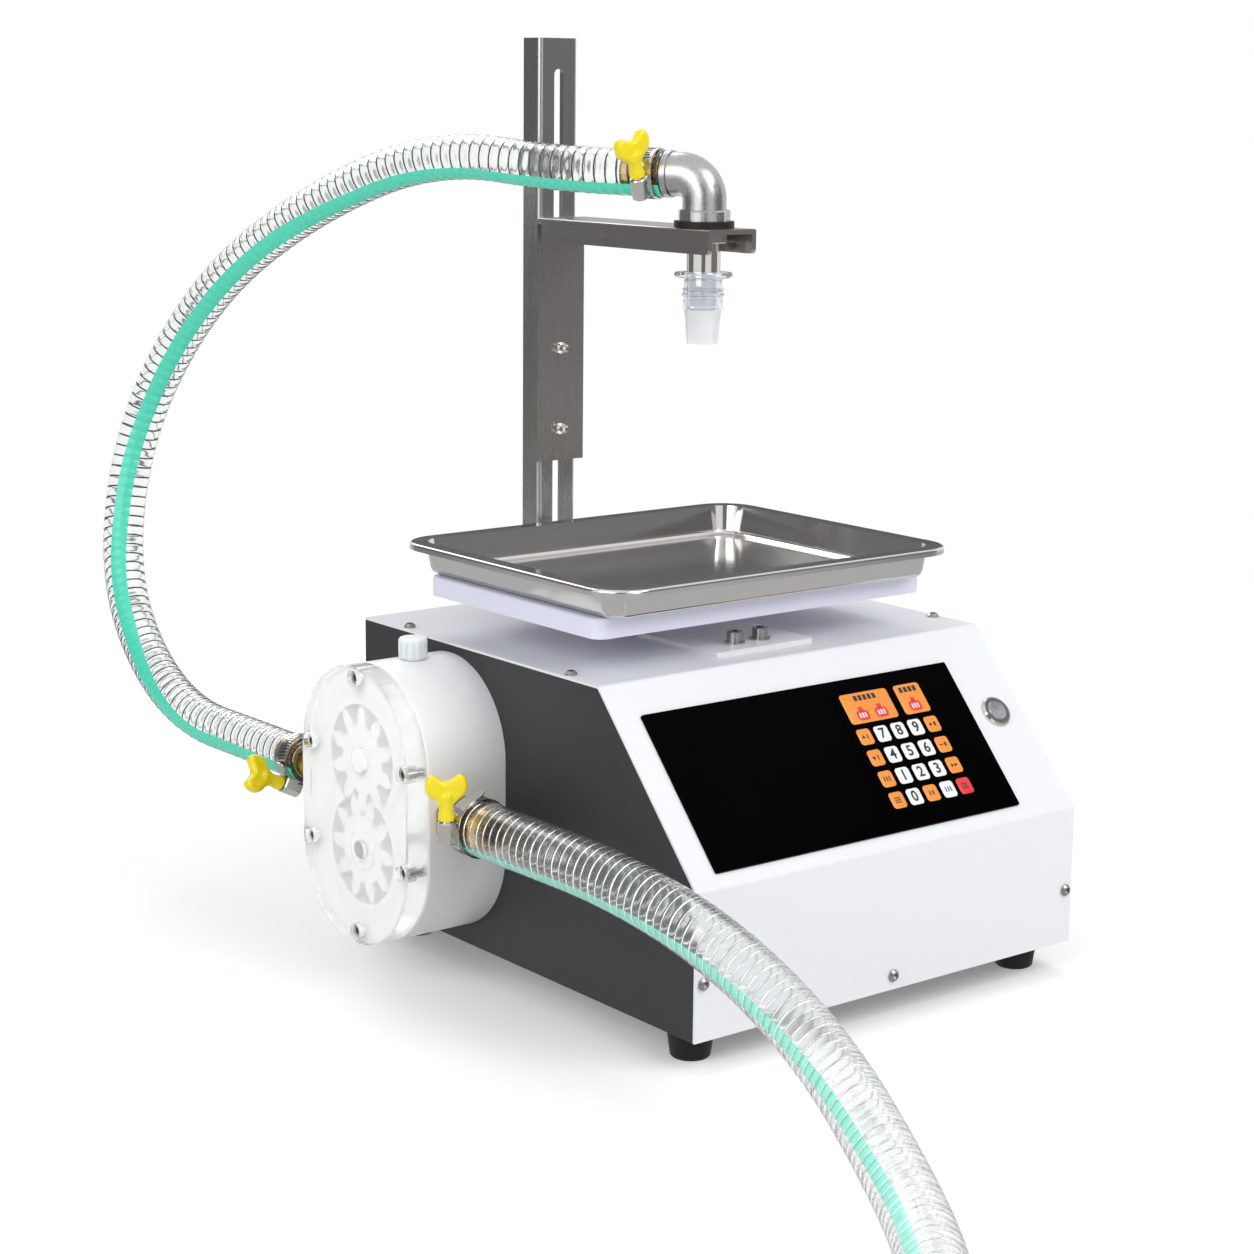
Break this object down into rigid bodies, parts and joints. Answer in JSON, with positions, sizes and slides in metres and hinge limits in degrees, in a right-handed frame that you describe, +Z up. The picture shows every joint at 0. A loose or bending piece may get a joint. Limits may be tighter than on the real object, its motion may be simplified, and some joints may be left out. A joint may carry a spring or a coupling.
{
  "type": "honey filling machine",
  "caption": "Tabletop weighing filler: housing with sloped keypad panel, side gear pump, two reinforced hoses, weighing tray and a height-adjustable nozzle arm on a column.",
  "frame": {"origin": "on the table, in the plane of the four feet, under the middle of the housing", "axes": "+Z up, -Y out of the control panel's side towards the operator, the pump on the -X side"},
  "size_m": [0.6634, 1.0111, 0.561],
  "materials": {
    "charcoal_sheet": "fine powder coat",
    "light_sheet": "smooth light powder coat",
    "steel": "plain stainless",
    "polished_steel": "polished stainless",
    "satin_steel": "satin stainless",
    "brushed_steel": "brushed stainless",
    "tray_steel": "pressed stainless",
    "band_steel": "stainless band",
    "aluminium": "milled",
    "black_glass": "gloss black",
    "keypad_film": "printed film",
    "clear_acrylic": "clear acrylic",
    "lavender_acrylic": "translucent acrylic",
    "clear_plastic": "clear soft plastic",
    "frosted_silicone": "frosted silicone",
    "black_rubber": "black rubber",
    "white_rubber": "white silicone",
    "galvanised_iron": "galvanised casting",
    "brass": "turned brass",
    "white_plastic": "satin white",
    "black_metal": "black enamel",
    "clear_hose": "clear hose with wire helix and green stripe",
    "black_plastic": "moulded black",
    "supply_case": "sheet case",
    "board_green": "circuit board",
    "yellow_plastic": "moulded yellow"
  },
  "bodies": {
    "machine": {"button_bezel": "polished_steel", "cell_plate": "clear_acrylic", "cell_screws": "steel", "cell_spacer": "aluminium", "chassis": "charcoal_sheet", "column": "brushed_steel", "column_bolts": "steel", "control_board": "board_green", "cover": "light_sheet", "cover_screws": "steel", "display_panel": "black_glass", "drive_bush": "brass", "foot_front_left": "black_rubber", "foot_front_right": "black_rubber", "foot_rear_left": "black_rubber", "foot_rear_right": "black_rubber", "foot_screws": "steel", "gearbox": "aluminium", "inlet_clamp": "band_steel", "inlet_fitting": "brass", "inlet_hose": "clear_hose", "keypad": "keypad_film", "load_cell": "aluminium", "mains_inlet": "black_plastic", "motor": "black_metal", "motor_pillars": "steel", "outlet_clamp": "band_steel", "outlet_fitting": "brass", "outlet_hose": "clear_hose", "platform": "lavender_acrylic", "platform_riser": "aluminium", "platform_screws": "steel", "power_supply": "supply_case", "pump_body": "white_plastic", "pump_cover": "clear_acrylic", "pump_screws": "steel", "pump_seal": "white_rubber", "shaft_seal": "black_rubber"},
    "carriage": {"carriage_arm": "brushed_steel", "clamp_plate": "steel", "carriage_screws": "polished_steel", "arm_washer": "black_rubber", "elbow": "galvanised_iron", "elbow_barb": "brass", "nipple": "polished_steel", "lock_nut": "steel", "nozzle_adapter": "clear_plastic", "nozzle_tip": "frosted_silicone", "elbow_clamp": "band_steel"},
    "inlet_key": {"inlet_key": "yellow_plastic"},
    "outlet_key": {"outlet_key": "yellow_plastic"},
    "elbow_key": {"elbow_key": "yellow_plastic"},
    "drive": {"drive_gear": "white_plastic", "drive_shaft": "steel", "coupling": "aluminium"},
    "idler": {"idler_gear": "white_plastic"},
    "relief_plug": {"relief_plug": "white_plastic"},
    "start_button": {"button_cap": "satin_steel"},
    "mains_rocker": {"mains_rocker": "black_plastic"},
    "tray": {"tray": "tray_steel"}
  },
  "joints": [
    {"name": "carriage_slide", "type": "slide", "parent": "machine", "child": "carriage", "axis": [0, 0, 1], "range_m": [-0.072, 0.17], "deforming": ["outlet_hose"]},
    {"name": "inlet_key_turn", "type": "hinge", "parent": "machine", "child": "inlet_key", "pos_m": [-0.2079, -0.0095, 0.119], "axis": [0, 0, 1], "continuous": true},
    {"name": "outlet_key_turn", "type": "hinge", "parent": "machine", "child": "outlet_key", "pos_m": [-0.20053, 0.1845, 0.0981], "axis": [-0.893, 0, 0.45], "continuous": true},
    {"name": "elbow_key_turn", "type": "hinge", "parent": "carriage", "child": "elbow_key", "pos_m": [-0.04778, 0.02251, 0.47876], "axis": [-0.3737, -0.1904, 0.9078], "continuous": true},
    {"name": "drive_spin", "type": "hinge", "parent": "machine", "child": "drive", "pos_m": [-0.18, 0.07, 0.085], "axis": [1, 0, 0], "continuous": true},
    {"name": "idler_spin", "type": "hinge", "parent": "machine", "child": "idler", "pos_m": [-0.18, 0.07, 0.14], "axis": [1, 0, 0], "continuous": true},
    {"name": "relief_turn", "type": "hinge", "parent": "machine", "child": "relief_plug", "pos_m": [-0.177, 0.07, 0.197], "axis": [0, 0, 1], "range_deg": [-90, 90]},
    {"name": "start_press", "type": "slide", "parent": "machine", "child": "start_button", "axis": [0, 0.7455, -0.6665], "range_m": [0, 0.0025], "stiffness_N_per_m": 600},
    {"name": "mains_switch", "type": "hinge", "parent": "machine", "child": "mains_rocker", "pos_m": [0.1, 0.1612, 0.0944], "axis": [0, 0, 1], "range_deg": [-24, 0]},
    {"name": "tray_lift", "type": "slide", "parent": "machine", "child": "tray", "axis": [0, 0, 1], "range_m": [0, 0.1]}
  ],
  "couplings": [
    {"joint": "idler_spin", "follows": "drive_spin", "ratio": -1}
  ]
}
